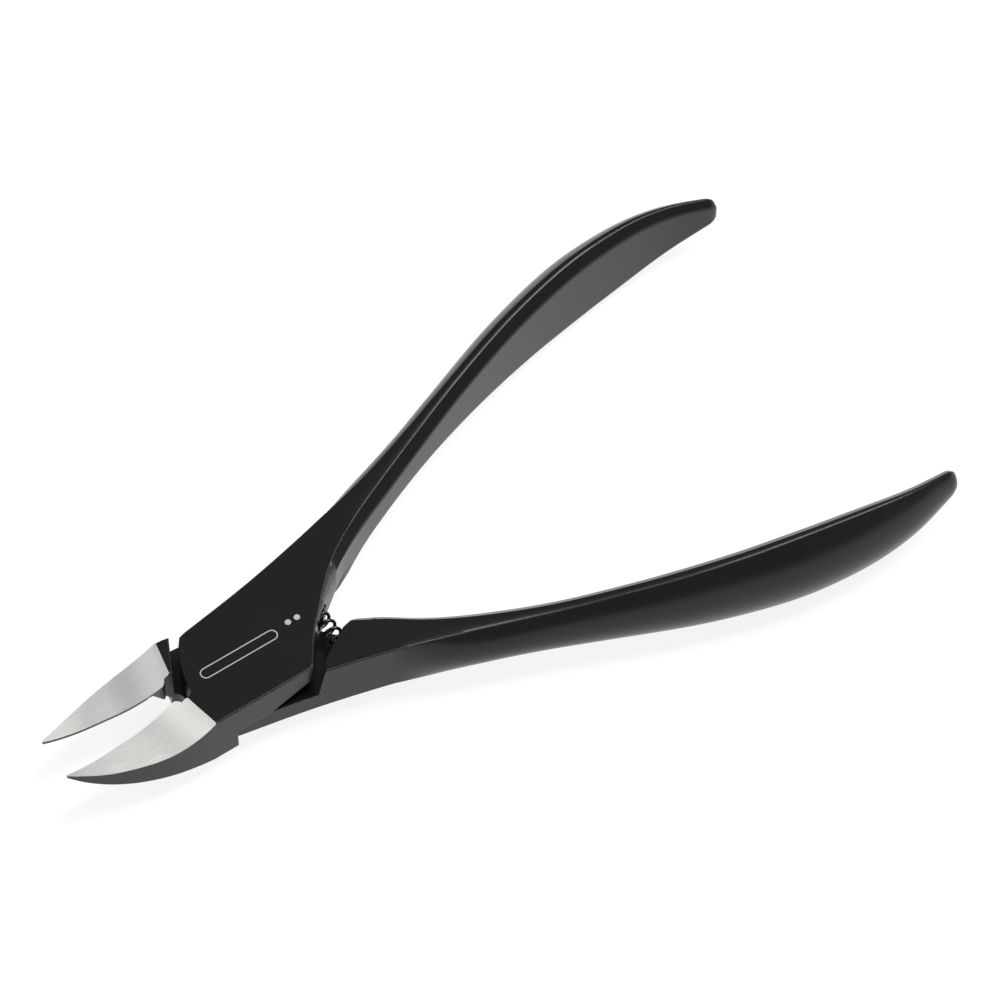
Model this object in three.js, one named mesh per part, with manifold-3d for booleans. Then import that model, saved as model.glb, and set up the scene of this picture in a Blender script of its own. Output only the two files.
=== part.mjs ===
// Lap-joint nail nipper, lying flat with its handles open. Millimetres, +Z up, jaws towards -X.
// Each lever is drawn with the jaws shut, about its pivot, then turned to the open rest position.
import * as THREE from 'three';
import { ConvexGeometry } from 'three/addons/geometries/ConvexGeometry.js';
import { mergeVertices } from 'three/addons/utils/BufferGeometryUtils.js';
import Module from 'manifold-3d';

const wasm = await Module();
wasm.setup();

// Placing: the origin is the middle of the footprint, on the surface the tool lies on.
const PIVOT_X = -33.0;
const PIVOT_Z = 7.0;
const OPEN_ANGLE = 5.4 * Math.PI / 180;

// Joint
const JOINT_HALF = 4.22;
const LAP_Z = -1.0;
const LAP_GAP = 0.3;
const NECK_U = 16;
const FRONT_ROOT = [15.7, 3.9];
const RELIEF_FOOT = [11.9, 3.3];
const RELIEF_BEND = [17.8, 4.12];
const RELIEVED_U = 20.5;
const REAR_ROOT = [14.4, 3.5];

// Jaws
const TIP_U = -32.2;
const EDGE_CLEARANCE = 0.1;
const GRIND_LOW_Z = 1.72;
const GRIND_ROOT_RADIUS = 17;
const GRIND_TIP_RADIUS = 21;
const GRIND_ROOT_U = -21.5;
const GRIND_TIP_U = -25;
const GRIND_SLANT = 0.1;
const THROAT_U = -14.2;
const FRONT_JAW = { trim: 0, shoulderU: -8.8, shoulderV: -7.2, plateCornerV: -7.03 };
const REAR_JAW = { trim: 0.5, shoulderU: -10.0, shoulderV: -6.5, plateCornerV: -7.5 };
const LAND = 0.35;
const RELIEF_ANGLE = 38 * Math.PI / 180;
const RELIEF_ROOT_U = -15.7;
const RELIEF_ROOT_LEAN = 0.75;

// Handles
const HANDLE_END_U = 100.4;
const END_ROUND = 1.6;

// Spring and its pockets, in the rest position
const SPRING_U = 10.6;
const SPRING_Z = 1.6;
const SPRING_RADIUS = 1.05;
const WIRE_RADIUS = 0.25;
const SPRING_TURNS = 7;
const SPRING_START = -0.6;
const SPRING_TOP_Y = 2.4;
const SPRING_FOOT_Y = -8.0;
const POCKET_RADIUS = 1.65;
const POCKET_SLACK = 0.3;

// Pivot screw
const SCREW_RADIUS = 2.2;
const SCREW_HEAD_RADIUS = 4.4;
const SCREW_HEAD_HEIGHT = 1.1;
const SCREW_FIT = 0.3;
const SCREW_END_Z = 2.6;
const SLOT_WIDTH = 0.9;
const SLOT_DEPTH = 0.6;

function material(name, colour, roughness, metalness) {
  const made = new THREE.MeshStandardMaterial({ color: colour, roughness, metalness });
  made.name = name;
  return made;
}

function solid(geometry) {
  const bare = geometry.clone();
  bare.deleteAttribute('normal');
  bare.deleteAttribute('uv');
  const merged = mergeVertices(bare, 1e-5);
  return new wasm.Manifold(new wasm.Mesh({
    numProp: 3,
    vertProperties: new Float32Array(merged.attributes.position.array),
    triVerts: new Uint32Array(merged.index.array),
  }));
}

function geometryOf(shape) {
  const mesh = shape.getMesh();
  const geometry = new THREE.BufferGeometry();
  geometry.setAttribute('position', new THREE.BufferAttribute(new Float32Array(mesh.vertProperties), 3));
  geometry.setIndex(new THREE.BufferAttribute(new Uint32Array(mesh.triVerts), 1));
  const flat = geometry.toNonIndexed();
  flat.computeVertexNormals();
  return flat;
}

// A smooth curve through [u, value] pairs. Its slope at a pair is that of the parabola
// through its neighbours.
function smoothThrough(pairs) {
  const slopeAfter = (i) => (pairs[i + 1][1] - pairs[i][1]) / (pairs[i + 1][0] - pairs[i][0]);
  const last = pairs.length - 1;
  const slope = pairs.map((pair, i) => {
    if (i === 0) return slopeAfter(0);
    if (i === last) return slopeAfter(last - 1);
    const share = (pair[0] - pairs[i - 1][0]) / (pairs[i + 1][0] - pairs[i - 1][0]);
    return slopeAfter(i - 1) * (1 - share) + slopeAfter(i) * share;
  });
  return (u) => {
    let i = 0;
    while (i < pairs.length - 2 && u > pairs[i + 1][0]) i += 1;
    const [u0, v0] = pairs[i];
    const [u1, v1] = pairs[i + 1];
    const width = u1 - u0;
    const t = Math.min(1, Math.max(0, (u - u0) / width));
    const a = (1 + 2 * t) * (1 - t) * (1 - t);
    const b = t * (1 - t) * (1 - t);
    const c = t * t * (3 - 2 * t);
    const d = t * t * (t - 1);
    return a * v0 + b * width * slope[i] + c * v1 + d * width * slope[i + 1];
  };
}

// Handle lines, jaws shut: outer and inner edge of the front face, half height, inner chamfer, outer bulge.
const outerEdge = smoothThrough([
  [-9, 7.35], [6, 8.7], [16, 10.15], [29, 12.55], [45, 16.75], [61, 20.55], [76, 22.4], [92, 21.95],
  [101, 19.9],
]);
const innerEdge = smoothThrough([
  [3.67, -8.13], [6, -5.2], [8, -3.05], [10, -1.25], [12, 0.6], [14, 2.28], [16.5, 4.18], [20, 6.2],
  [24, 8.13],
  [30, 10.5], [38, 13.3], [50, 16.9], [66, 20.4], [80, 21.8], [92, 21.5], [101, 19.7],
]);
// The rear lever's plate ends further up, and its inner edge runs straighter into its shoulder.
const rearInnerEdge = smoothThrough([
  [3.67, -8.13], [6.7, -4.6], [9.5, -1.2], [12, 1.7], REAR_ROOT, [17, 4.7], [22, 7.4], [34, 12.15],
  [50, 16.9], [66, 20.4], [80, 21.8], [92, 21.5], [101, 19.7],
]);
const halfHeight = smoothThrough([
  [10, 4.22], [16, 4.22], [18, 4.2], [24, 3.95], [31, 3.8], [38, 4.0], [50, 5.05], [64, 6.45], [76, 7.0],
  [87, 6.1], [94, 4.5],
  [101, 2.3],
]);
const chamfer = smoothThrough([
  [5, 0], [8, 0.12], [12, 0.68], [15, 1.1], [20, 1.3], [30, 1.48], [45, 1.4], [77, 1.35], [101, 1.0],
]);
const bulge = smoothThrough([[16, 0.01], [24, 1.35], [40, 1.8], [58, 2.7], [76, 3.4], [90, 2.6], [101, 1.2]]);
// How much further out the outer wall's rear edge lies than its front edge.
const lean = smoothThrough([[16, 0], [26, 0.6], [48, 0.6], [76, 0.1], [101, 0]]);

// A solid skinned over convex rings of points; every ring has the same number of points.
function skin(rings) {
  const count = rings[0].length;
  const positions = rings.flat(2);
  const index = [];
  for (let r = 0; r < rings.length - 1; r += 1) {
    for (let i = 0; i < count; i += 1) {
      const a = r * count + i;
      const b = r * count + (i + 1) % count;
      index.push(a, b, a + count, b, b + count, a + count);
    }
  }
  const last = (rings.length - 1) * count;
  for (let i = 1; i < count - 1; i += 1) {
    index.push(0, i + 1, i, last, last + i, last + i + 1);
  }
  const geometry = new THREE.BufferGeometry();
  geometry.setAttribute('position', new THREE.BufferAttribute(new Float32Array(positions), 3));
  geometry.setIndex(index);
  return geometry;
}

// One cross-section of the upper handle. "end" runs from 1 along the handle to 0 at its rounded end.
function handleRing(u, end, inside) {
  const outer = outerEdge(u);
  const inner = inside(u);
  const cut = chamfer(u);
  const half = halfHeight(u);
  const slip = lean(u);
  const swell = bulge(u);
  const radius = (half * half + swell * swell) / (2 * swell);
  const reach = Math.asin(half / radius);
  const points = [];
  const steps = 10;
  for (let i = 0; i <= steps; i += 1) {
    const angle = reach * (1 - 2 * i / steps);
    const across = outer + slip * i / steps + swell - radius + radius * Math.cos(angle);
    points.push([across, radius * Math.sin(angle)]);
  }
  points.push([inner, -half], [inner - cut, -half + cut], [inner - cut, half - cut], [inner, half]);
  const middle = (outer + inner - cut + swell) / 2;
  return points.reverse().map(([v, z]) => [u, middle + (v - middle) * end, z * end]);
}

function handle(inside) {
  const rings = [];
  const start = HANDLE_END_U - END_ROUND;
  const count = 30;
  for (let i = 0; i < count; i += 1) {
    rings.push(handleRing(NECK_U + (start - NECK_U) * i / count, 1, inside));
  }
  const endSteps = 7;
  for (let i = 0; i <= endSteps; i += 1) {
    const angle = Math.PI / 2 * 0.93 * i / endSteps;
    rings.push(handleRing(start + END_ROUND * Math.sin(angle), Math.cos(angle) ** 0.5, inside));
  }
  return solid(skin(rings));
}

function plateEnd(outline, from, to, edge, steps = 8) {
  for (let i = 1; i <= steps; i += 1) {
    const u = from + (to - from) * i / steps;
    outline.lineTo(u, edge(u));
  }
}

function layer(outline, low, high) {
  const sweep = { depth: high - low, bevelEnabled: false, curveSegments: 12 };
  const geometry = new THREE.ExtrudeGeometry(outline, sweep);
  geometry.translate(0, 0, low);
  return solid(geometry);
}

// The half of the lap that crosses the joint, from the jaw's ground face to the neck.
function lapPlate(inside, cornerV) {
  const outline = new THREE.Shape();
  outline.moveTo(-12.5, -1.2);
  outline.quadraticCurveTo(-11.6, -1.0, -11.25, -0.2);
  outline.quadraticCurveTo(-10.6, 4.1, -7.45, 7.37);
  plateEnd(outline, -7.45, NECK_U + 0.5, outerEdge);
  const wall = (u) => inside(u) - chamfer(u);
  outline.lineTo(NECK_U + 0.5, wall(NECK_U + 0.5));
  plateEnd(outline, NECK_U + 0.5, 3.67, wall, 16);
  outline.lineTo(-11.9, cornerV);
  return outline;
}

// The root's inner edge, straight from the shoulder's end to the neck.
function rootEdge(inside, [startU, startV]) {
  return (u) => startV + (inside(NECK_U) - startV) * (u - startU) / (NECK_U - startU);
}

// The full-height root of the handle, whose shoulder stands clear of the other lever's plate.
function handleRoot(edge, [startU]) {
  const outline = new THREE.Shape();
  const wall = (u) => edge(u) - chamfer(u);
  outline.moveTo(NECK_U + 0.5, wall(NECK_U + 0.5));
  outline.lineTo(NECK_U + 0.5, outerEdge(NECK_U + 0.5));
  plateEnd(outline, NECK_U + 0.5, 6.4, outerEdge);
  outline.quadraticCurveTo(6.6, 7.3, 7.75, 6.45);
  outline.lineTo(11.9, 3.3);
  outline.lineTo(startU, wall(startU));
  return outline;
}

// The foot of the shoulder, which slopes out towards the lap at the lever's outer side.
function shoulderFoot(lapZ, farZ) {
  const corners = [[6.4, outerEdge(6.4), farZ], [6.4, outerEdge(6.4), lapZ], [5.05, outerEdge(5.05), lapZ],
    [7.75, 6.5, lapZ], [8.5, 8, farZ], [8.5, 8, lapZ]];
  return solid(new ConvexGeometry(corners.map((p) => new THREE.Vector3(...p))));
}

// Clears the front lever's root under its plate, from the shoulder to some way up the neck.
function rootRelief(inside, step) {
  const outline = new THREE.Shape();
  outline.moveTo(...RELIEF_FOOT);
  outline.lineTo(...RELIEF_BEND);
  outline.lineTo(RELIEVED_U, inside(RELIEVED_U) - chamfer(RELIEVED_U));
  outline.lineTo(RELIEVED_U, -2);
  outline.lineTo(RELIEF_FOOT[0], -2);
  return layer(outline, -JOINT_HALF - 1, step);
}

// The chamfer along an inner edge, from where it starts to just past the neck. "side" is 1 in
// front, -1 behind.
function chamferCutter(edge, from, side) {
  const rings = [];
  const steps = 20;
  for (let i = 0; i <= steps; i += 1) {
    const u = from + (NECK_U + 1 - from) * i / steps;
    const front = edge(u);
    const wall = front - chamfer(u);
    const high = JOINT_HALF + 1;
    const ring = [[front + 1, high], [wall - 1, high], [wall - 1, high - chamfer(u) - 2]];
    if (side < 0) ring.reverse();
    rings.push(ring.map(([v, z]) => [u, v, side * z]));
  }
  return solid(skin(rings));
}

// The jaw seen from the front: a straight cutting edge and a bowed outer side running to the tip.
const jawSide = smoothThrough([
  [-32.2, 0.32], [-30.5, 1.3], [-28, 2.7], [-25, 4.1], [-21.5, 5.45], [-18, 6.35], [-15, 6.8], [-9.3, 7.2],
]);
// Height of the jaw's back edge along its outer side.
const jawBack = smoothThrough([
  [-32.6, 2.9], [-30.5, 1.05], [-28, -0.4], [-25, -1.6], [-21.5, -2.45], [-15, -3.75], [-12.4, -4.22],
]);

function grindHeight(u) {
  if (u < GRIND_TIP_U) {
    return GRIND_LOW_Z + GRIND_TIP_RADIUS - Math.sqrt(GRIND_TIP_RADIUS ** 2 - (u - GRIND_TIP_U) ** 2);
  }
  const root = Math.max(0, u - GRIND_ROOT_U);
  return GRIND_LOW_Z + GRIND_ROOT_RADIUS - Math.sqrt(GRIND_ROOT_RADIUS ** 2 - root ** 2);
}

function jawOutline({ trim, shoulderU, shoulderV }) {
  const outline = new THREE.Shape();
  const side = (u) => -jawSide(u) + trim * Math.min(1, (u - TIP_U) / 10);
  outline.moveTo(TIP_U, -EDGE_CLEARANCE);
  outline.lineTo(TIP_U, side(TIP_U));
  const steps = 16;
  for (let i = 1; i <= steps; i += 1) {
    const u = TIP_U + (-11 - TIP_U) * i / steps;
    outline.lineTo(u, side(u));
  }
  outline.lineTo(shoulderU, shoulderV);
  outline.lineTo(-12.1, -1.1);
  outline.lineTo(-13.4, -1.05);
  outline.quadraticCurveTo(-13.8, -EDGE_CLEARANCE, THROAT_U, -EDGE_CLEARANCE);
  return outline;
}

// A profile drawn in XZ becomes a bar along Y, its far end slid along X by "slant" per millimetre.
function barAlongY(outline, from, to, slant) {
  const length = to - from;
  const geometry = new THREE.ExtrudeGeometry(outline, { depth: length, bevelEnabled: false });
  const stand = new THREE.Matrix4().set(
    1, 0, slant, slant * from,
    0, 0, -1, -from,
    0, 1, 0, 0,
    0, 0, 0, 1,
  );
  return solid(geometry.applyMatrix4(stand));
}

// Everything above the hollow-ground face.
function grindCutter() {
  const outline = new THREE.Shape();
  const from = TIP_U - 2;
  const to = -9.2;
  const steps = 26;
  outline.moveTo(from, 14);
  for (let i = 0; i <= steps; i += 1) {
    const u = from + (to - from) * i / steps;
    outline.lineTo(u, grindHeight(u));
  }
  outline.lineTo(to, 14);
  return barAlongY(outline, -2, 12, GRIND_SLANT);
}

// Everything below the jaw's back, which climbs to the tip.
function backCutter() {
  const outline = new THREE.Shape();
  const from = -12.4;
  const to = -32.6;
  const steps = 16;
  outline.moveTo(from, -14);
  for (let i = 0; i <= steps; i += 1) {
    const u = from + (to - from) * i / steps;
    outline.lineTo(u, jawBack(u));
  }
  outline.lineTo(to, -14);
  return barAlongY(outline, -12, 12, 0);
}

// The relief under the cutting edge. It leaves a narrow land along the edge and runs out in a
// lean at the throat.
function reliefCutter() {
  const lean = Math.tan(RELIEF_ANGLE);
  const steps = 14;
  const rings = [];
  for (let i = 0; i <= steps; i += 1) {
    const u = TIP_U - 1 + (RELIEF_ROOT_U - TIP_U + 1) * i / steps;
    const top = grindHeight(u) - LAND;
    const slide = (z) => (i === steps ? RELIEF_ROOT_LEAN * (top - z) : 0);
    const ring = [[1, top + 1 / lean], [-(top + 12) * lean, -12], [1, -12]];
    rings.push(ring.map(([v, z]) => [u + slide(z), v, z]));
  }
  return solid(skin(rings));
}

// A slanting cut under the plate's corner, beside the other lever's shoulder.
function cornerCutter(step) {
  const along = [-3.6, -7.9, step];
  const across = [9.2, -2.2, step];
  const peak = [3.67, -8.13, step + 2.2];
  const beyond = peak.map((value, i) => value + 0.8 * (value - (along[i] + across[i]) / 2));
  const top = [along, across, beyond];
  const corners = [...top, ...top.map(([u, v]) => [u, v, step - 3])];
  return solid(new ConvexGeometry(corners.map((p) => new THREE.Vector3(...p))));
}

// A round cutter along Y, at rest, for one spring pocket.
function pocketCutter(fromY, toY) {
  const geometry = new THREE.CylinderGeometry(POCKET_RADIUS, POCKET_RADIUS, toY - fromY, 40);
  geometry.translate(SPRING_U, (fromY + toY) / 2, SPRING_Z);
  return solid(geometry);
}

function roundCutter(radius, low, high) {
  const geometry = new THREE.CylinderGeometry(radius, radius, high - low, 48);
  geometry.rotateX(Math.PI / 2);
  geometry.translate(0, 0, (low + high) / 2);
  return solid(geometry);
}

// The front lever with jaws shut: handle on +Y, jaw on -Y, its lap plate in front. The rear lever
// is its mirror
// image in Y with the plate behind, so "front" only chooses which layer holds the plate.
function lever(front) {
  const step = LAP_Z + (front ? LAP_GAP / 2 : -LAP_GAP / 2);
  const side = front ? 1 : -1;
  const inside = front ? innerEdge : rearInnerEdge;
  const ends = front ? FRONT_JAW : REAR_JAW;
  const outline = lapPlate(inside, ends.plateCornerV);
  const wholePlate = front ? layer(outline, step, JOINT_HALF) : layer(outline, -JOINT_HALF, step);
  const plate = (front ? wholePlate.subtract(cornerCutter(step)) : wholePlate)
    .subtract(chamferCutter(inside, 4, side));
  const low = front ? -JOINT_HALF : step - 0.5;
  const high = front ? step + 0.5 : JOINT_HALF;
  const start = front ? FRONT_ROOT : REAR_ROOT;
  const edge = rootEdge(inside, start);
  const root = layer(handleRoot(edge, start), low, high)
    .add(front ? shoulderFoot(high, low) : shoulderFoot(low, high))
    .subtract(chamferCutter(edge, 12, -side));
  const jaw = layer(jawOutline(ends), -JOINT_HALF, JOINT_HALF)
    .subtract(backCutter())
    .subtract(reliefCutter());
  const whole = plate.add(root).add(handle(inside)).add(jaw).subtract(grindCutter());
  return front ? whole.subtract(rootRelief(inside, step)) : whole;
}

function turned(shape, angle, mirror) {
  const geometry = geometryOf(shape);
  const place = new THREE.Matrix4().makeRotationZ(angle);
  if (mirror) place.multiply(new THREE.Matrix4().makeScale(1, -1, 1));
  geometry.applyMatrix4(place);
  if (mirror) {
    const p = geometry.attributes.position.array;
    for (let i = 0; i < p.length; i += 9) {
      for (let k = 0; k < 3; k += 1) {
        const keep = p[i + k];
        p[i + k] = p[i + 3 + k];
        p[i + 3 + k] = keep;
      }
    }
  }
  return solid(geometry);
}

// The coil spring, its axis along Y between the two pockets.
class Helix extends THREE.Curve {
  getPoint(t) {
    const angle = 2 * Math.PI * SPRING_TURNS * t + SPRING_START;
    return new THREE.Vector3(
      SPRING_U + SPRING_RADIUS * Math.cos(angle),
      SPRING_FOOT_Y + (SPRING_TOP_Y - SPRING_FOOT_Y) * t,
      SPRING_Z + SPRING_RADIUS * Math.sin(angle),
    );
  }
}

function spring() {
  const wire = new THREE.Shape();
  wire.absarc(0, 0, WIRE_RADIUS, 0, 2 * Math.PI, false);
  return new THREE.ExtrudeGeometry(wire, {
    steps: SPRING_TURNS * 16,
    extrudePath: new Helix(),
    bevelEnabled: false,
    curveSegments: 3,
  });
}

// The pivot screw is put in from behind: a slotted head, then a shank that ends blind in the front lever.
function pivotScrew() {
  const headTop = -JOINT_HALF - SCREW_FIT;
  const headFoot = headTop - SCREW_HEAD_HEIGHT;
  const profile = [
    [0, headFoot],
    [SCREW_HEAD_RADIUS - 0.35, headFoot],
    [SCREW_HEAD_RADIUS, headFoot + 0.35],
    [SCREW_HEAD_RADIUS, headTop],
    [SCREW_RADIUS, headTop],
    [SCREW_RADIUS, SCREW_END_Z - 0.4],
    [SCREW_RADIUS - 0.4, SCREW_END_Z],
    [0, SCREW_END_Z],
  ].map(([r, z]) => new THREE.Vector2(r, z));
  const turnedBody = new THREE.LatheGeometry(profile, 56);
  turnedBody.rotateX(Math.PI / 2);
  const slot = new THREE.BoxGeometry(SCREW_HEAD_RADIUS * 3, SLOT_WIDTH, SLOT_DEPTH * 2);
  slot.translate(0, 0, headFoot);
  return solid(turnedBody).subtract(solid(slot));
}

const screwRoom = SCREW_RADIUS + SCREW_FIT;
const leverEnd = SCREW_END_Z + SCREW_FIT;
const frontLever = turned(lever(true), OPEN_ANGLE, false)
  .subtract(roundCutter(screwRoom, -12, leverEnd))
  .subtract(pocketCutter(-4, SPRING_TOP_Y + WIRE_RADIUS + POCKET_SLACK));
const rearLever = turned(lever(false), -OPEN_ANGLE, true)
  .subtract(roundCutter(screwRoom, -12, 12))
  .subtract(pocketCutter(SPRING_FOOT_Y - WIRE_RADIUS - POCKET_SLACK, -2.5));

const blackCoat = [0x26272a, 0.38, 0.55];
const group = new THREE.Group();
const pieces = [
  ['front_lever', geometryOf(frontLever), material('black_coat', ...blackCoat)],
  ['rear_lever', geometryOf(rearLever), material('black_coat_rear', ...blackCoat)],
  ['pivot_screw', geometryOf(pivotScrew()), material('screw_steel', 0x8b8d90, 0.35, 0.9)],
  ['return_spring', spring(), material('spring_steel', 0x77797c, 0.35, 0.95)],
];
for (const [name, geometry, finish] of pieces) {
  geometry.translate(PIVOT_X, 0, PIVOT_Z);
  const mesh = new THREE.Mesh(geometry, finish);
  mesh.name = name;
  group.add(mesh);
}

export default group;
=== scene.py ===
import math

import bmesh
import bpy
from mathutils import Matrix, Vector


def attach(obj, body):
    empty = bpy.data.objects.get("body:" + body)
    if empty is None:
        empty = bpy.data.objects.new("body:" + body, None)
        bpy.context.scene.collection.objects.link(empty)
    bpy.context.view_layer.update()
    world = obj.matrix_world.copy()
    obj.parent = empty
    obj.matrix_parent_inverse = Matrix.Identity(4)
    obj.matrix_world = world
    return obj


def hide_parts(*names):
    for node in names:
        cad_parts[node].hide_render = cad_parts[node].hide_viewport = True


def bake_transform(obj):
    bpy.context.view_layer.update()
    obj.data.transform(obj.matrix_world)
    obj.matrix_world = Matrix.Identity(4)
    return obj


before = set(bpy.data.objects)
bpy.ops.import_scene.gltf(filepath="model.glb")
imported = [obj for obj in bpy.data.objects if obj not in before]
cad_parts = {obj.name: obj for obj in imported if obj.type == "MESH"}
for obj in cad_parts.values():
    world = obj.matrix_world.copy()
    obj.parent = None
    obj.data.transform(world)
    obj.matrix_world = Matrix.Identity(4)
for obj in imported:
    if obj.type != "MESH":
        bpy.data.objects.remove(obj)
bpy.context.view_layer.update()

MM = 0.001

# Placing
PIVOT_X = -33.0
PIVOT_Z = 7.0
FLOOR_GAP = 0.06
OPEN_ANGLE = math.radians(5.4)

# Joint
JOINT_HALF = 4.22
LAP_Z = -1.0
LAP_GAP = 0.3
NECK_U = 16.0
FRONT_ROOT = (15.7, 3.9)
RELIEF_FOOT = (11.9, 3.3)
RELIEF_BEND = (17.8, 4.12)
RELIEVED_U = 20.5
REAR_ROOT = (14.4, 3.5)
SHOULDER_U = 6.4
SHOULDER_TOE_U = 5.05
PLATE_FOOT = (-12.5, -1.2)
PLATE_NOSE = (-11.25, -0.2)
PLATE_TOP = (-7.45, 7.37)

# Edges, before the fine finish
BREAK = 0.15
HANDLE_BREAK = 0.07
STRIP_SOFT = 0.12
WALL_SOFT = 0.45
CROWN = 0.05
BLEND_LENGTH = 10

# Jaws
TIP_U = -32.2
EDGE_CLEARANCE = 0.1
GRIND_LOW_Z = 1.72
GRIND_ROOT_RADIUS = 17.0
GRIND_TIP_RADIUS = 21.0
GRIND_ROOT_U = -21.5
GRIND_TIP_U = -25.0
GRIND_SLANT = 0.1
THROAT_U = -14.2
PLATE_CORNER_U = -11.9
PLATE_POINT = (3.67, -8.13)
FRONT_CORNER_V = -7.03
REAR_CORNER_V = -7.5
FRONT_JAW = {"trim": 0.0, "side_end": -12.4, "shoulder": [(PLATE_CORNER_U, FRONT_CORNER_V), (-8.8, -7.249)]}
REAR_JAW = {"trim": 0.5, "side_end": -11.0, "shoulder": [(-10.0, -6.5)]}
LAND = 0.35
RELIEF_ANGLE = math.radians(38)
RELIEF_ROOT_U = -15.7
RELIEF_ROOT_LEAN = 0.75

# Handles
HANDLE_END_U = 100.4
END_ROUND = 1.6

# Spring
SPRING_U = 10.6
SPRING_Z = 1.6
SPRING_RADIUS = 1.05
WIRE_RADIUS = 0.25
SPRING_TURNS = 7
SPRING_START = -0.6
SPRING_TOP_Y = 2.4
SPRING_FOOT_Y = -8.0
POCKET_RADIUS = 1.65
POCKET_SLACK = 0.3

# Pivot screw
SCREW_RADIUS = 2.2
SCREW_HEAD_RADIUS = 4.4
SCREW_HEAD_HEIGHT = 1.1
SCREW_FIT = 0.3
SCREW_END_Z = 2.6
SLOT_WIDTH = 0.9
SLOT_DEPTH = 0.6


def smooth_through(pairs):
    """A smooth curve through (u, value) pairs; its slope is that of the parabola through the neighbours."""
    last = len(pairs) - 1

    def slope_after(i):
        return (pairs[i + 1][1] - pairs[i][1]) / (pairs[i + 1][0] - pairs[i][0])

    slopes = [slope_after(0)]
    for i in range(1, last):
        share = (pairs[i][0] - pairs[i - 1][0]) / (pairs[i + 1][0] - pairs[i - 1][0])
        slopes.append(slope_after(i - 1) * (1 - share) + slope_after(i) * share)
    slopes.append(slope_after(last - 1))

    def curve(u):
        i = 0
        while i < last - 1 and u > pairs[i + 1][0]:
            i += 1
        (u0, v0), (u1, v1) = pairs[i], pairs[i + 1]
        width = u1 - u0
        t = min(1.0, max(0.0, (u - u0) / width))
        start = (1 + 2 * t) * (1 - t) ** 2 * v0 + t * (1 - t) ** 2 * width * slopes[i]
        end = t * t * (3 - 2 * t) * v1 + t * t * (t - 1) * width * slopes[i + 1]
        return start + end

    return curve


outer_edge = smooth_through([
    (-9, 7.35), (6, 8.7), (16, 10.15), (29, 12.55), (45, 16.75), (61, 20.55), (76, 22.4), (92, 21.95),
    (101, 19.9),
])
inner_edge = smooth_through([
    (3.67, -8.13), (6, -5.2), (8, -3.05), (10, -1.25), (12, 0.6), (14, 2.28), (16.5, 4.18), (20, 6.2),
    (24, 8.13),
    (30, 10.5), (38, 13.3), (50, 16.9), (66, 20.4), (80, 21.8), (92, 21.5), (101, 19.7),
])
rear_inner_edge = smooth_through([
    (3.67, -8.13), (6.7, -4.6), (9.5, -1.2), (12, 1.7), REAR_ROOT, (17, 4.7), (22, 7.4), (34, 12.15),
    (50, 16.9), (66, 20.4), (80, 21.8), (92, 21.5), (101, 19.7),
])
half_height = smooth_through([
    (10, 4.22), (16, 4.22), (18, 4.2), (24, 3.95), (31, 3.8), (38, 4.0), (50, 5.05), (64, 6.45),
    (76, 7.0), (87, 6.1),
    (94, 4.5), (101, 2.3),
])
chamfer = smooth_through([
    (5, BREAK), (8, 0.2), (12, 0.68), (15, 1.1), (20, 1.3), (30, 1.48), (45, 1.4), (77, 1.35), (101, 1.0),
])
bulge = smooth_through([(16, 0.001), (24, 1.35), (40, 1.8), (58, 2.7), (76, 3.4), (90, 2.6), (101, 1.2)])
lean = smooth_through([(16, 0), (26, 0.6), (48, 0.6), (76, 0.1), (101, 0)])
jaw_side = smooth_through([
    (-32.2, 0.32), (-30.5, 1.3), (-28, 2.7), (-25, 4.1), (-21.5, 5.45), (-18, 6.35), (-15, 6.8), (-9.3, 7.2),
])
jaw_back = smooth_through([
    (-32.6, 2.9), (-30.5, 1.05), (-28, -0.4), (-25, -1.6), (-21.5, -2.45), (-15, -3.75), (-12.4, -4.22),
])


def spread(start, end, count):
    """Count + 1 numbers from start to end."""
    return [start + (end - start) * i / count for i in range(count + 1)]


# ---------------------------------------------------------------- mesh building, in millimetres

def mesh_object(name, work):
    """A scene object made from a bmesh, with its faces turned outwards."""
    bmesh.ops.remove_doubles(work, verts=work.verts, dist=1e-4)
    bmesh.ops.dissolve_degenerate(work, edges=work.edges, dist=1e-5)
    bmesh.ops.recalc_face_normals(work, faces=work.faces)
    mesh = bpy.data.meshes.new(name)
    work.to_mesh(mesh)
    work.free()
    made = bpy.data.objects.new(name, mesh)
    bpy.context.scene.collection.objects.link(made)
    return made


def skin(name, rings):
    """A closed solid over rings of points, every ring with the same number of points."""
    work = bmesh.new()
    rows = [[work.verts.new(point) for point in ring] for ring in rings]
    count = len(rings[0])
    for low, high in zip(rows, rows[1:]):
        for i in range(count):
            k = (i + 1) % count
            work.faces.new((low[i], low[k], high[k], high[i]))
    work.faces.new(rows[0])
    work.faces.new(rows[-1])
    return mesh_object(name, work)


def inset(outline, amount):
    """The outline moved inwards by an amount, except at the neck, where it joins the handle."""
    count = len(outline)
    area = sum(outline[i - 1][0] * outline[i][1] - outline[i][0] * outline[i - 1][1] for i in range(count))
    side = math.copysign(1, area)
    moved = []
    for i in range(count):
        here = Vector(outline[i])
        before = (here - Vector(outline[i - 1])).normalized()
        after = (Vector(outline[(i + 1) % count]) - here).normalized()
        n1 = Vector((-before.y, before.x)) * side
        n2 = Vector((-after.y, after.x)) * side
        new = here + (n1 + n2) * (amount / max(0.3, 1 + n1.dot(n2)))
        moved.append(Vector((NECK_U, new.y)) if here.x == NECK_U else new)
    return moved


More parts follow.
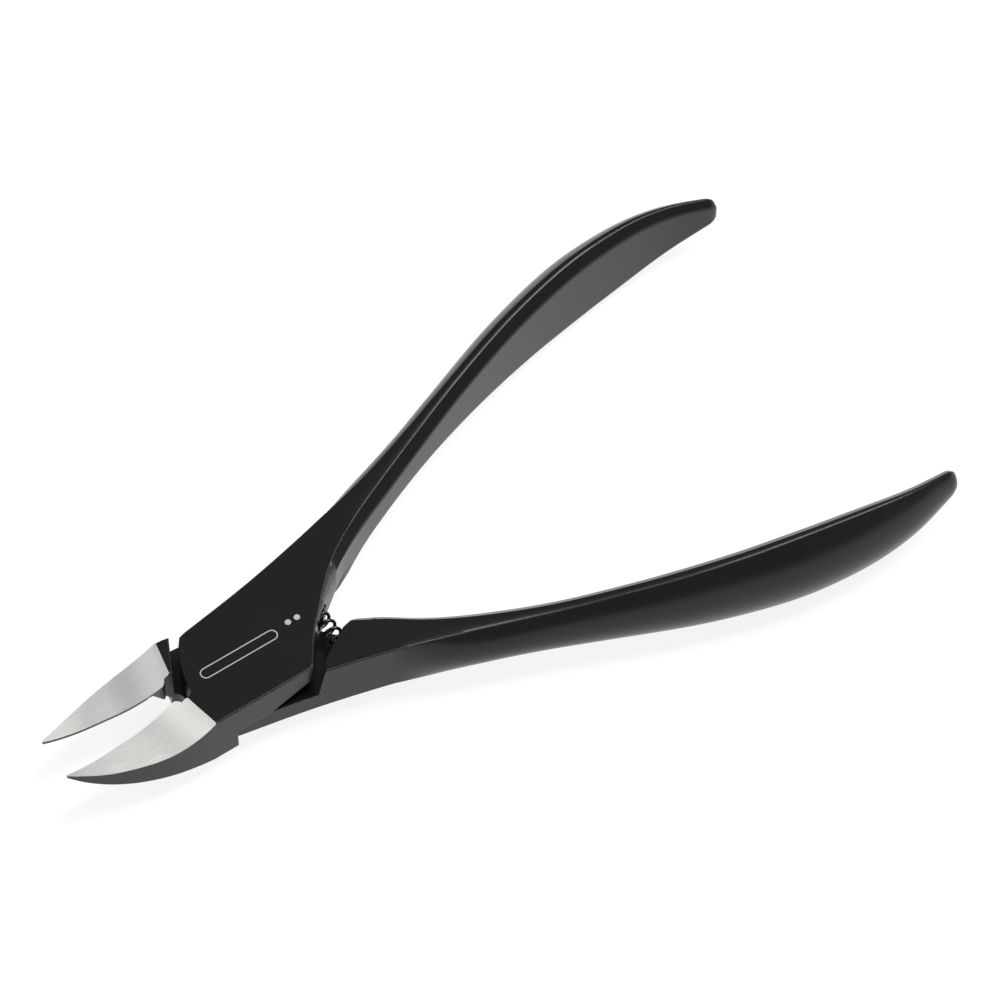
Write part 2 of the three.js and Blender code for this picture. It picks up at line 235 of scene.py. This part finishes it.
def prism(name, outline, low, high, low_break=0.0, high_break=0.0):
    """An outline in (u, v) raised from low to high, its rims broken by a narrow bevel."""
    levels = [(low, low_break)] if low_break else []
    levels += [(low + low_break, 0.0), (high - high_break, 0.0)]
    levels += [(high, high_break)] if high_break else []
    rings = []
    for z, amount in levels:
        ring = inset(outline, amount) if amount else outline
        rings.append([(p[0], p[1], z) for p in ring])
    return skin(name, rings)


def combine(base, other, operation):
    """Joins or cuts the base with another closed solid, which is used up."""
    step = base.modifiers.new("combine", "BOOLEAN")
    step.operation = operation
    step.solver = "EXACT"
    step.object = other
    bpy.context.view_layer.update()
    graph = bpy.context.evaluated_depsgraph_get()
    made = bpy.data.meshes.new_from_object(base.evaluated_get(graph))
    base.modifiers.clear()
    base.data = made
    bpy.data.objects.remove(other)
    return base


def quadratic(start, control, end, count=10):
    """Points on a quadratic curve, after its start and up to its end."""
    found = []
    for i in range(1, count + 1):
        t = i / count
        found.append(tuple(
            (1 - t) ** 2 * a + 2 * t * (1 - t) * b + t * t * c for a, b, c in zip(start, control, end)
        ))
    return found


# ---------------------------------------------------------------- the levers

def rounded(corner, before, after, reach, count=3):
    """Points that round a corner of a section, leaving each neighbour by at most a part of its distance."""
    corner = Vector(corner)
    to_before = Vector(before) - corner
    to_after = Vector(after) - corner
    start = corner + to_before.normalized() * min(reach, 0.4 * to_before.length)
    end = corner + to_after.normalized() * min(reach, 0.4 * to_after.length)
    return [start[:]] + quadratic(start, corner, end, count)


def handle_ring(u, end, inside):
    """One section of the upper handle; end runs from 1 along the handle to 0 at its rounded end."""
    outer = outer_edge(u)
    inner = inside(u)
    cut = chamfer(u)
    half = half_height(u)
    slip = lean(u)
    swell = bulge(u)
    share = min(1.0, (u - NECK_U) / BLEND_LENGTH)
    grown = share * share * (3 - 2 * share)
    edge_break = BREAK + (HANDLE_BREAK - BREAK) * grown
    radius = (half * half + swell * swell) / (2 * swell)
    reach = math.asin(half / radius)
    wall = []
    steps = 20
    for i in range(steps + 1):
        share = min(1 - 1 / steps, max(1 / steps, i / steps))
        angle = (reach - edge_break / radius) * (1 - 2 * (i - 1) / (steps - 2)) if 0 < i < steps else reach
        angle = -reach if i == steps else angle
        along = outer + slip * share + swell - radius + radius * math.cos(angle)
        wall.append((along, radius * math.sin(angle)))
    top, bottom = wall[0], wall[-1]
    rim = min(edge_break, 0.4 * (outer - inner))
    points = [(top[0] - rim, half)]
    points += wall[1:-1]
    points.append((bottom[0] - rim, -half))
    low_rim = (inner, -half)
    low_wall = (inner - cut, -half + cut)
    high_wall = (inner - cut, half - cut)
    high_rim = (inner, half)
    soft = grown * STRIP_SOFT
    softer = grown * WALL_SOFT
    crown = CROWN * grown * min(1.2, points[0][0] - inner)
    across = [(t, 4 * t * (1 - t) * crown) for t in (0.2, 0.35, 0.5, 0.65, 0.8)]
    first, last = points[0][0], points[-1][0]
    points += [(last + (inner - last) * t, -half - rise) for t, rise in across]
    points += rounded(low_rim, points[-1], low_wall, soft)
    points += rounded(low_wall, low_rim, high_wall, softer)
    points += rounded(high_wall, low_wall, high_rim, softer)
    points += rounded(high_rim, high_wall, (first, half), soft)
    points += [(inner + (first - inner) * t, half + rise) for t, rise in across]
    middle = (outer + inner - cut + swell) / 2
    return [(u, middle + (v - middle) * end, z * end) for v, z in points]


def handle(inside):
    start = HANDLE_END_U - END_ROUND
    rings = [handle_ring(u, 1, inside) for u in spread(NECK_U, start, 110)]
    for i in range(1, 11):
        angle = math.pi / 2 * 0.93 * i / 10
        rings.append(handle_ring(start + END_ROUND * math.sin(angle), math.cos(angle) ** 0.5, inside))
    return skin("handle", rings)


def edge_run(edge, start, end, count, shift=0.0):
    """Points along an edge curve, after its start and up to its end."""
    return [(u, edge(u) + shift) for u in spread(start, end, count)[1:]]


def lap_plate(inside, corner_v):
    """Outline of the half of the lap that crosses the joint, from the ground face to the neck."""
    outline = [PLATE_FOOT]
    outline += quadratic(PLATE_FOOT, (-11.6, -1.0), PLATE_NOSE, 5)
    outline += quadratic(PLATE_NOSE, (-10.6, 4.1), PLATE_TOP, 12)
    outline += edge_run(outer_edge, PLATE_TOP[0], SHOULDER_U, 14)
    outline += edge_run(outer_edge, SHOULDER_U, NECK_U, 10)
    outline += [(u, inside(u) - chamfer(u)) for u in spread(NECK_U, PLATE_POINT[0], 24)[:-1]]
    outline += [PLATE_POINT, (PLATE_CORNER_U, corner_v)]
    return outline


def root_edge(inside, start):
    """The root's inner edge, straight from the shoulder's end to the neck."""
    start_u, start_v = start
    return lambda u: start_v + (inside(NECK_U) - start_v) * (u - start_u) / (NECK_U - start_u)


def handle_root(edge, start_u):
    """Outline of the handle's full-height root. Its shoulder stands clear of the other lever's plate."""
    shoulder = (SHOULDER_U, outer_edge(SHOULDER_U))
    outline = [(NECK_U, outer_edge(NECK_U))]
    outline += edge_run(outer_edge, NECK_U, SHOULDER_U, 10)
    outline += quadratic(shoulder, (6.6, 7.3), (7.75, 6.45), 6)
    outline.append(RELIEF_FOOT)
    outline += [(u, edge(u) - chamfer(u)) for u in spread(start_u, NECK_U, 6)]
    return outline


def chamfer_cutter(edge, start, side):
    """The chamfer along an inner edge, from its start to past the neck. Side is 1 in front, -1 behind."""
    rings = []
    for u in spread(start, NECK_U, 16) + [NECK_U + 1]:
        front, cut = edge(u), chamfer(u)
        wall = front - cut
        ring = [(front + 1, JOINT_HALF + 1), (wall - 1, JOINT_HALF + 1), (wall - 1, JOINT_HALF - cut - 1)]
        rings.append([(u, v, side * z) for v, z in ring])
    return skin("chamfer", rings)


def root_relief(inside, step):
    """Clears the front lever's root under its plate, from the shoulder to some way up the neck."""
    wall = inside(RELIEVED_U) - chamfer(RELIEVED_U)
    outline = [RELIEF_FOOT, RELIEF_BEND, (RELIEVED_U, wall), (RELIEVED_U, -2), (RELIEF_FOOT[0], -2)]
    return prism("root_relief", outline, -JOINT_HALF - 1, step)


def shoulder_foot(lap_z, far_z):
    """The foot of the shoulder, which slopes out towards the lap at the lever's outer side."""
    rim = (SHOULDER_U, outer_edge(SHOULDER_U))
    foot = (SHOULDER_TOE_U, outer_edge(SHOULDER_TOE_U))
    corners = [(*rim, far_z), (*rim, lap_z), (*foot, lap_z)]
    corners += [(7.75, 6.5, lap_z), (8.5, 8, far_z), (8.5, 8, lap_z)]
    work = bmesh.new()
    bmesh.ops.convex_hull(work, input=[work.verts.new(c) for c in corners])
    return mesh_object("foot", work)


def grind_height(u):
    if u < GRIND_TIP_U:
        return GRIND_LOW_Z + GRIND_TIP_RADIUS - math.sqrt(GRIND_TIP_RADIUS ** 2 - (u - GRIND_TIP_U) ** 2)
    root = max(0.0, u - GRIND_ROOT_U)
    return GRIND_LOW_Z + GRIND_ROOT_RADIUS - math.sqrt(GRIND_ROOT_RADIUS ** 2 - root ** 2)


def jaw_outline(trim, side_end, shoulder):
    outline = [(TIP_U, -EDGE_CLEARANCE)]
    for u in spread(TIP_U, side_end, 36):
        outline.append((u, -jaw_side(u) + trim * min(1.0, (u - TIP_U) / 10)))
    outline += shoulder
    outline += [(-12.1, -1.1), (-13.4, -1.05)]
    outline += quadratic((-13.4, -1.05), (-13.8, -EDGE_CLEARANCE), (THROAT_U, -EDGE_CLEARANCE), 6)
    return outline


def bar_along_v(name, profile, low_v, high_v, slant):
    """A profile in (u, z) made into a bar along v, slid back along u by the slant."""
    rings = [[(u - slant * v, v, z) for u, z in profile] for v in (low_v, high_v)]
    return skin(name, rings)


def grind_cutter():
    start, end = TIP_U - 2, -9.2
    profile = [(start, 14)] + [(u, grind_height(u)) for u in spread(start, end, 60)] + [(end, 14)]
    return bar_along_v("grind", profile, -12, 2, GRIND_SLANT)


def back_cutter():
    start, end = -12.4, -32.6
    profile = [(start, -14)] + [(u, jaw_back(u)) for u in spread(start, end, 40)] + [(end, -14)]
    return bar_along_v("back", profile, -12, 12, 0)


def relief_cutter():
    """The hollow under the cutting edge, which leaves a narrow land and leans at the throat."""
    slope = math.tan(RELIEF_ANGLE)
    stations = spread(TIP_U - 1, RELIEF_ROOT_U, 30)
    rings = []
    for u in stations:
        top = grind_height(u) - LAND
        ring = [(1, top + 1 / slope), (-(top + 12) * slope, -12), (1, -12)]
        slide = RELIEF_ROOT_LEAN if u == stations[-1] else 0
        rings.append([(u + slide * (top - z), v, z) for v, z in ring])
    return skin("relief", rings)


def corner_cutter(step):
    """The slanting cut under the plate's corner, beside the other lever's shoulder."""
    along = Vector((-3.6, -7.9, step))
    across = Vector((9.2, -2.2, step))
    peak = Vector((*PLATE_POINT, step + 2.2))
    beyond = peak + 0.8 * (peak - (along + across) / 2)
    drop = Vector((0, 0, -3))
    work = bmesh.new()
    corners = [along, across, beyond, along + drop, across + drop, beyond + 3 * drop]
    bmesh.ops.convex_hull(work, input=[work.verts.new(c) for c in corners])
    return mesh_object("corner", work)


def round_cutter(radius, low, high, centre=(0, 0), along_y=False):
    work = bmesh.new()
    bmesh.ops.create_cone(
        work, cap_ends=True, segments=72, radius1=radius, radius2=radius, depth=high - low,
    )
    middle = (low + high) / 2
    if along_y:
        turn = Matrix.Rotation(math.pi / 2, 4, "X")
        move = Matrix.Translation((centre[0], middle, centre[1]))
        bmesh.ops.transform(work, matrix=move @ turn, verts=work.verts)
    else:
        bmesh.ops.translate(work, vec=(centre[0], centre[1], middle), verts=work.verts)
    return mesh_object("round", work)


def mark_ground_faces(piece, placing):
    """The hollow-ground faces take the second material."""
    back = (Matrix.Scale(MM, 4) @ Matrix.Translation((PIVOT_X, 0, PIVOT_Z)) @ placing).inverted()
    for face in piece.data.polygons:
        c = back @ face.center
        on_grind = c.x < -10 and abs(c.z - grind_height(c.x + GRIND_SLANT * c.y)) < 0.03
        face.material_index = 1 if on_grind and face.normal.z > 0.3 else 0


def lever(name, front):
    """The lever with the jaws shut: handle on +v, jaw on -v. Front chooses which layer holds the plate."""
    step = LAP_Z + (LAP_GAP / 2 if front else -LAP_GAP / 2)
    inside = inner_edge if front else rear_inner_edge
    outline = lap_plate(inside, FRONT_CORNER_V if front else REAR_CORNER_V)
    start = FRONT_ROOT if front else REAR_ROOT
    edge = root_edge(inside, start)
    root_outline = handle_root(edge, start[0])
    jaw = prism("jaw", jaw_outline(**(FRONT_JAW if front else REAR_JAW)), -JOINT_HALF, JOINT_HALF, 0, BREAK)
    jaw = combine(jaw, back_cutter(), "DIFFERENCE")
    jaw = combine(jaw, relief_cutter(), "DIFFERENCE")
    if front:
        plate = prism("plate", outline, step, JOINT_HALF, 0, BREAK)
        plate = combine(plate, corner_cutter(step), "DIFFERENCE")
        root = prism("root", root_outline, -JOINT_HALF, step + 0.5, BREAK, 0)
        root = combine(root, shoulder_foot(step + 0.5, -JOINT_HALF), "UNION")
    else:
        plate = prism("plate", outline, -JOINT_HALF, step, BREAK, 0)
        root = prism("root", root_outline, step - 0.5, JOINT_HALF, 0, BREAK)
        root = combine(root, shoulder_foot(step - 0.5, JOINT_HALF), "UNION")
    side = 1 if front else -1
    plate = combine(plate, chamfer_cutter(inside, 8, side), "DIFFERENCE")
    root = combine(root, chamfer_cutter(edge, 12, -side), "DIFFERENCE")
    made = combine(plate, root, "UNION")
    made = combine(made, handle(inside), "UNION")
    made = combine(made, jaw, "UNION")
    made = combine(made, grind_cutter(), "DIFFERENCE")
    if front:
        made = combine(made, root_relief(inside, step), "DIFFERENCE")
    made.name = name
    return made


def place(piece, placing):
    """Turns a lever to its rest position."""
    piece.data.transform(placing)
    if placing.determinant() < 0:
        piece.data.flip_normals()
    return piece


def finish_mesh(piece, materials, sharp_angle=40, placing=None):
    """Brings a piece to metres in the shared frame, with soft shading between its crisp edges."""
    piece.data.transform(Matrix.Scale(MM, 4) @ Matrix.Translation((PIVOT_X, 0, PIVOT_Z)))
    for material in materials:
        piece.data.materials.append(material)
    if placing:
        mark_ground_faces(piece, placing)
    work = bmesh.new()
    work.from_mesh(piece.data)
    bmesh.ops.remove_doubles(work, verts=work.verts, dist=2e-7)
    limit = math.radians(sharp_angle)
    for face in work.faces:
        face.smooth = True
    for edge in work.edges:
        pair = edge.link_faces
        differ = len(pair) == 2 and pair[0].material_index != pair[1].material_index
        edge.smooth = len(pair) == 2 and not differ and edge.calc_face_angle(0) < limit
    work.to_mesh(piece.data)
    work.free()
    weighted = piece.modifiers.new("weighted", "WEIGHTED_NORMAL")
    weighted.keep_sharp = True
    return piece


# ---------------------------------------------------------------- materials

class Nodes:
    """A short way to write a material's node tree."""

    def __init__(self, name):
        self.material = bpy.data.materials.new(name)
        self.material.use_nodes = True
        self.tree = self.material.node_tree
        self.tree.nodes.clear()

    def add(self, kind, inputs=None, **settings):
        node = self.tree.nodes.new(kind)
        for key, value in settings.items():
            setattr(node, key, value)
        for key, value in (inputs or {}).items():
            self.give(node.inputs[key], value)
        return node

    def give(self, socket, value):
        if isinstance(value, bpy.types.NodeSocket):
            self.tree.links.new(value, socket)
        else:
            socket.default_value = value

    def coordinates(self, turn=0.0, scale=(1, 1, 1), location=(0, 0, 0)):
        source = self.add("ShaderNodeTexCoord").outputs["Object"]
        return self.add("ShaderNodeMapping", {
            "Vector": source, "Rotation": (0, 0, turn), "Scale": scale, "Location": location,
        }).outputs["Vector"]

    def noise(self, vector, scale, detail=3.0, roughness=0.55):
        return self.add("ShaderNodeTexNoise", {
            "Vector": vector, "Scale": scale, "Detail": detail, "Roughness": roughness,
        }).outputs["Fac"]

    def ramp(self, value, low, high, to_low, to_high):
        return self.add("ShaderNodeMapRange", {
            "Value": value, "From Min": low, "From Max": high, "To Min": to_low, "To Max": to_high,
        }).outputs["Result"]

    def math(self, operation, a, b):
        return self.add("ShaderNodeMath", {0: a, 1: b}, operation=operation).outputs[0]

    def colour_mix(self, factor, a, b):
        node = self.tree.nodes.new("ShaderNodeMix")
        node.data_type = "RGBA"
        self.give(node.inputs[0], factor)
        self.give(node.inputs[6], a)
        self.give(node.inputs[7], b)
        return node.outputs[2]

    def soft_edges(self, radius_mm):
        return self.add("ShaderNodeBevel", {"Radius": radius_mm * MM}, samples=6).outputs["Normal"]

    def edge_mask(self, radius_mm, low, high):
        """1 close to a sharp edge, 0 away from it."""
        rounded_normal = self.soft_edges(radius_mm)
        true_normal = self.add("ShaderNodeNewGeometry").outputs["True Normal"]
        dot = self.add("ShaderNodeVectorMath", {0: rounded_normal, 1: true_normal}, operation="DOT_PRODUCT")
        return self.ramp(dot.outputs["Value"], high, low, 0.0, 1.0)

    def bump(self, height, distance_mm, strength=1.0, normal=None):
        inputs = {"Height": height, "Distance": distance_mm * MM, "Strength": strength}
        if normal is not None:
            inputs["Normal"] = normal
        return self.add("ShaderNodeBump", inputs).outputs["Normal"]

    def surface(self, **sockets):
        shader = self.add("ShaderNodeBsdfPrincipled", sockets)
        self.add("ShaderNodeOutputMaterial", {"Surface": shader.outputs["BSDF"]})
        return self.material


def black_coat():
    """Satin black coat over steel: fine blasted grain, faint cloudiness, and thin pale rims that are partly
    scuffed wear and partly a painted highlight on the rims that face -Y.
    """
    m = Nodes("black_coat")
    here = m.coordinates()
    cloud = m.noise(here, 90.0, 4.0)
    grain = m.noise(here, 5200.0, 2.0)
    cool = m.colour_mix(cloud, (0.0066, 0.0068, 0.0064, 1), (0.0074, 0.0079, 0.0086, 1))
    scuff = m.noise(here, 700.0, 5.0, 0.7)
    # Pale rims near sharp edges, varied by scuff noise: partly wear, partly painted highlight.
    rim = m.math("MULTIPLY", m.edge_mask(0.2, 0.93, 0.99), m.ramp(scuff, 0.3, 0.7, 0.45, 1.0))
    # Painted highlight: only rims whose rounded normal faces -Y are lightened.
    painted_highlight_side = m.add("ShaderNodeSeparateXYZ", {"Vector": m.soft_edges(0.14)}).outputs["Y"]
    rim = m.math("MULTIPLY", rim, m.ramp(painted_highlight_side, -0.05, -0.25, 0.0, 1.0))
    # Painted highlight and wear: the rims take a pale grey in place of the black.
    colour = m.colour_mix(rim, cool, (0.105, 0.105, 0.10, 1))
    rough = m.math("ADD", m.ramp(cloud, 0.3, 0.7, 0.24, 0.28), m.ramp(grain, 0.2, 0.8, -0.015, 0.015))
    normal = m.bump(grain, 0.0004, 0.5, m.soft_edges(0.14))
    return m.surface(**{
        "Base Color": colour, "Roughness": rough, "Normal": normal, "IOR": 1.40, "Metallic": 0.0,
    })


def ground_steel(name, turn, painted_shade):
    """Hollow-ground steel: fine grain along the lever; the last argument dims a copy towards grey as painted
    shade.
    """
    m = Nodes(name)
    lines = m.noise(m.coordinates(turn, (1, 26, 26)), 340.0, 6.0, 0.75)
    broad = m.noise(m.coordinates(turn, (1, 9, 9)), 90.0, 3.0)
    here = m.noise(m.coordinates(), 160.0, 3.0)
    tone = m.colour_mix(m.ramp(lines, 0.25, 0.75, 0.0, 1.0), (0.72, 0.72, 0.69, 1), (0.98, 0.98, 0.94, 1))
    # Painted shade: a share of plain grey, set by the last argument and varied by broad noise, dims the
    # steel.
    tone = m.colour_mix(m.ramp(broad, 0.3, 0.7, 0.8 * painted_shade, painted_shade), tone, (0.62, 0.62, 0.60, 1))
    rough = m.math("ADD", m.ramp(lines, 0.25, 0.75, 0.38, 0.48), m.ramp(here, 0.3, 0.7, -0.02, 0.02))
    normal = m.bump(lines, 0.008, 0.5)
    return m.surface(**{
        "Base Color": tone, "Roughness": rough, "Normal": normal, "Metallic": 1.0,
    })


def screw_steel():
    """Turned screw head: fine rings round the axis."""
    m = Nodes("screw_steel")
    centre = m.coordinates(location=(-PIVOT_X * MM, 0, 0))
    rings = m.add("ShaderNodeTexWave", {
        "Vector": centre, "Scale": 1600.0, "Distortion": 0.6, "Detail": 2.0, "Detail Scale": 2.0,
    }, wave_type="RINGS", rings_direction="Z").outputs["Fac"]
    cloud = m.noise(m.coordinates(), 400.0, 4.0)
    tone = m.colour_mix(cloud, (0.30, 0.30, 0.31, 1), (0.46, 0.46, 0.47, 1))
    rough = m.ramp(rings, 0.0, 1.0, 0.28, 0.38)
    normal = m.bump(rings, 0.003, 0.5, m.soft_edges(0.1))
    return m.surface(**{
        "Base Color": tone, "Roughness": rough, "Normal": normal, "Metallic": 1.0,
    })


def spring_steel():
    """Dark drawn wire with lighter rubbed spots."""
    m = Nodes("spring_steel")
    spots = m.noise(m.coordinates(), 1500.0, 4.0)
    tone = m.colour_mix(m.ramp(spots, 0.4, 0.75, 0.0, 1.0), (0.045, 0.045, 0.048, 1), (0.20, 0.20, 0.20, 1))
    rough = m.ramp(spots, 0.3, 0.7, 0.24, 0.36)
    normal = m.bump(m.noise(m.coordinates(), 6000.0), 0.001, 0.5)
    return m.surface(**{
        "Base Color": tone, "Roughness": rough, "Normal": normal, "Metallic": 1.0,
    })


def etched_mark():
    """Laser mark: pale, matt, a little uneven."""
    m = Nodes("etched_mark")
    uneven = m.noise(m.coordinates(), 3500.0, 3.0)
    tone = m.colour_mix(uneven, (0.42, 0.42, 0.41, 1), (0.62, 0.62, 0.61, 1))
    normal = m.bump(uneven, 0.002, 0.5)
    return m.surface(**{
        "Base Color": tone, "Roughness": m.ramp(uneven, 0.3, 0.7, 0.5, 0.7), "Normal": normal,
        "Metallic": 0.2,
    })


def pale_floor():
    m = Nodes("pale_floor")
    cloud = m.noise(m.coordinates(), 3.0, 2.0)
    tone = m.colour_mix(cloud, (0.19, 0.19, 0.19, 1), (0.21, 0.21, 0.21, 1))
    return m.surface(**{
        "Base Color": tone, "Roughness": m.ramp(cloud, 0.3, 0.7, 0.85, 0.95), "Specular IOR Level": 0.0,
        "Emission Color": (1, 1, 1, 1), "Emission Strength": 0.87,
    })


# ---------------------------------------------------------------- pieces

coat = black_coat()
# Painted shade: the rear jaw's copy of the same steel is dimmed towards grey, the front copy is not.
front_ground = ground_steel("ground_steel_front", -OPEN_ANGLE, 0.0)
rear_ground = ground_steel("ground_steel_rear", OPEN_ANGLE, 0.5)

screw_room = SCREW_RADIUS + SCREW_FIT
front_placing = Matrix.Rotation(OPEN_ANGLE, 4, "Z")
rear_placing = Matrix.Rotation(-OPEN_ANGLE, 4, "Z") @ Matrix.Scale(-1, 4, (0, 1, 0))
front = place(lever("front_lever_forged", True), front_placing)
front = combine(front, round_cutter(screw_room, -12, SCREW_END_Z + SCREW_FIT), "DIFFERENCE")
pocket_top = SPRING_TOP_Y + WIRE_RADIUS + POCKET_SLACK
front = combine(front, round_cutter(POCKET_RADIUS, -4, pocket_top, (SPRING_U, SPRING_Z), True), "DIFFERENCE")
finish_mesh(front, [coat, front_ground], placing=front_placing)

rear = place(lever("rear_lever_forged", False), rear_placing)
rear = combine(rear, round_cutter(screw_room, -12, 12), "DIFFERENCE")
pocket_foot = SPRING_FOOT_Y - WIRE_RADIUS - POCKET_SLACK
rear = combine(rear, round_cutter(POCKET_RADIUS, pocket_foot, -2.5, (SPRING_U, SPRING_Z), True), "DIFFERENCE")
finish_mesh(rear, [coat, rear_ground], placing=rear_placing)


def turned_screw():
    """A slotted head under the rear lever, then a shank that ends blind in the front lever."""
    top = -JOINT_HALF - SCREW_FIT
    foot = top - SCREW_HEAD_HEIGHT
    edge = SCREW_HEAD_RADIUS
    profile = [(0.35 * edge, foot), (edge - 0.5, foot)]
    profile += [(edge - 0.5 + 0.4 * math.sin(a), foot + 0.4 - 0.4 * math.cos(a)) for a in spread(0.3, 1.5, 5)]
    profile += [(edge, foot + 0.55), (edge, top - 0.1), (edge - 0.1, top), (SCREW_RADIUS + 0.1, top)]
    profile += [(SCREW_RADIUS, top + 0.1), (SCREW_RADIUS, SCREW_END_Z - 0.4)]
    profile.append((SCREW_RADIUS - 0.4, SCREW_END_Z))
    count = 96
    rings = []
    for radius, z in profile:
        angles = [2 * math.pi * i / count for i in range(count)]
        rings.append([(radius * math.cos(a), radius * math.sin(a), z) for a in angles])
    made = skin("pivot_screw_turned", rings)
    half = SLOT_WIDTH / 2
    slot = prism("slot", [(-9, -half), (9, -half), (9, half), (-9, half)], foot - 2, foot + SLOT_DEPTH)
    return combine(made, slot, "DIFFERENCE")


screw = finish_mesh(turned_screw(), [screw_steel()])


def coil_spring():
    """Round wire wound along Y between the two pockets."""
    per_turn, sides = 48, 14
    rings = []
    rise = (SPRING_TOP_Y - SPRING_FOOT_Y) / (2 * math.pi * SPRING_TURNS)
    for wound in spread(0, 2 * math.pi * SPRING_TURNS, per_turn * SPRING_TURNS):
        angle = wound + SPRING_START
        out = Vector((math.cos(angle), 0, math.sin(angle)))
        centre = Vector((SPRING_U, SPRING_FOOT_Y + rise * wound, SPRING_Z)) + out * SPRING_RADIUS
        swing = (-math.sin(angle) * SPRING_RADIUS, rise, math.cos(angle) * SPRING_RADIUS)
        forward = Vector(swing).normalized()
        side = out.cross(forward).normalized()
        ring = []
        for i in range(sides):
            turn = 2 * math.pi * i / sides
            ring.append(centre + (out * math.cos(turn) + side * math.sin(turn)) * WIRE_RADIUS)
        rings.append(ring)
    return skin("return_spring_wire", rings)


spring = finish_mesh(coil_spring(), [spring_steel()])


def on_plate(u, v):
    """A point of the front plate's face, in metres, from the lever's own lines."""
    turned = Matrix.Rotation(OPEN_ANGLE, 4, "Z") @ Vector((u, v, JOINT_HALF))
    return (turned + Vector((PIVOT_X, 0, PIVOT_Z))) * MM


MARK_DEPTH = 0.012


def dot(name, u, v, radius=0.45):
    work = bmesh.new()
    sizes = {"radius1": radius, "radius2": radius - 0.01, "depth": MARK_DEPTH}
    bmesh.ops.create_cone(work, cap_ends=True, segments=40, **sizes)
    bmesh.ops.scale(work, vec=(MM, MM, MM), verts=work.verts)
    bmesh.ops.translate(work, vec=on_plate(u, v) + Vector((0, 0, MARK_DEPTH / 2 * MM)), verts=work.verts)
    mesh = bpy.data.meshes.new(name)
    work.to_mesh(mesh)
    work.free()
    made = bpy.data.objects.new(name, mesh)
    bpy.context.scene.collection.objects.link(made)
    return made


def capsule(name, start, end, height, stroke):
    """A plain long ring between two points of the plate."""
    a, b = on_plate(*start), on_plate(*end)
    along = (b - a).normalized()
    across = Vector((-along.y, along.x, 0))
    radius = height / 2 * MM
    straight = (b - a).length - 2 * radius
    work = bmesh.new()
    rows = []
    for size, lift in ((radius, 0), (radius, MARK_DEPTH * MM), (radius - stroke * MM, MARK_DEPTH * MM),
                       (radius - stroke * MM, 0)):
        row = []
        for side in (0, 1):
            for turn in spread(math.pi / 2 + math.pi * side, 3 * math.pi / 2 + math.pi * side, 20):
                x = radius + straight * side + size * math.cos(turn)
                y = size * math.sin(turn)
                row.append(work.verts.new(a + along * x + across * y + Vector((0, 0, lift))))
        rows.append(row)
    count = len(rows[0])
    for near, far in zip(rows, rows[1:] + rows[:1]):
        for i in range(count):
            k = (i + 1) % count
            work.faces.new((near[i], near[k], far[k], far[i]))
    bmesh.ops.recalc_face_normals(work, faces=work.faces)
    mesh = bpy.data.meshes.new(name)
    work.to_mesh(mesh)
    work.free()
    made = bpy.data.objects.new(name, mesh)
    bpy.context.scene.collection.objects.link(made)
    return made


mark = etched_mark()
marks = [
    dot("mark_dot_1", 5.58, -0.15),
    dot("mark_dot_2", 7.04, -0.28),
    capsule("mark_capsule", (-9.0, 0.41), (3.41, -0.49), 1.75, 0.16),
]
for piece in marks:
    piece.data.materials.append(mark)
    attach(piece, "front_lever")

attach(front, "front_lever")
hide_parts("front_lever")
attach(rear, "rear_lever")
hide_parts("rear_lever")
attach(screw, "front_lever")
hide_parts("pivot_screw")
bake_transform(spring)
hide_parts("return_spring")


# ---------------------------------------------------------------- floor, light, camera

def make_floor():
    work = bmesh.new()
    bmesh.ops.create_grid(work, x_segments=2, y_segments=2, size=1.5)
    mesh = bpy.data.meshes.new("floor")
    work.to_mesh(mesh)
    work.free()
    floor = bpy.data.objects.new("floor", mesh)
    bpy.context.scene.collection.objects.link(floor)
    mesh.materials.append(pale_floor())
    floor.location = (0, 0, -FLOOR_GAP * MM)


def area_light(name, direction, distance, size, power, seen_in_gloss=True):
    """A soft panel aimed at the middle of the object."""
    aim = Vector((0.0, 0.0, PIVOT_Z * MM))
    lamp = bpy.data.lights.new(name, "AREA")
    lamp.shape = "RECTANGLE"
    lamp.size, lamp.size_y = size
    lamp.energy = power
    made = bpy.data.objects.new(name, lamp)
    towards = Vector(direction).normalized()
    made.location = aim + towards * distance
    made.rotation_mode = "QUATERNION"
    made.rotation_quaternion = (-towards).to_track_quat("-Z", "Y")
    made.visible_glossy = seen_in_gloss
    bpy.context.scene.collection.objects.link(made)


make_floor()
area_light("overhead", (0.47, -0.07, 0.88), 0.9, (0.28, 0.80), 7.0)
area_light("jaw_side", (-0.55, 0.42, 0.72), 0.9, (0.45, 0.45), 0.90)

world = bpy.data.worlds.new("studio")
bpy.context.scene.world = world
world.use_nodes = True
world.node_tree.nodes["Background"].inputs["Color"].default_value = (0.95, 0.97, 1.0, 1)
world.node_tree.nodes["Background"].inputs["Strength"].default_value = 0.28

CAMERA_AIM = Vector((9.77, 3.52, PIVOT_Z)) * MM
CAMERA_DISTANCE = 0.6725
CAMERA_AZIMUTH = math.radians(-33.89)
CAMERA_ELEVATION = math.radians(55.21)
back = Vector((
    math.sin(CAMERA_AZIMUTH) * math.cos(CAMERA_ELEVATION),
    -math.cos(CAMERA_AZIMUTH) * math.cos(CAMERA_ELEVATION),
    math.sin(CAMERA_ELEVATION),
))
lens = bpy.data.cameras.new("camera")
lens.sensor_width = 36.0
lens.lens = 171.9
lens.clip_start, lens.clip_end = 0.01, 20.0
camera = bpy.data.objects.new("camera", lens)
camera.location = CAMERA_AIM + back * CAMERA_DISTANCE
camera.rotation_mode = "QUATERNION"
camera.rotation_quaternion = (-back).to_track_quat("-Z", "Y")
bpy.context.scene.collection.objects.link(camera)
bpy.context.scene.camera = camera
bpy.context.scene.view_settings.view_transform = "Standard"
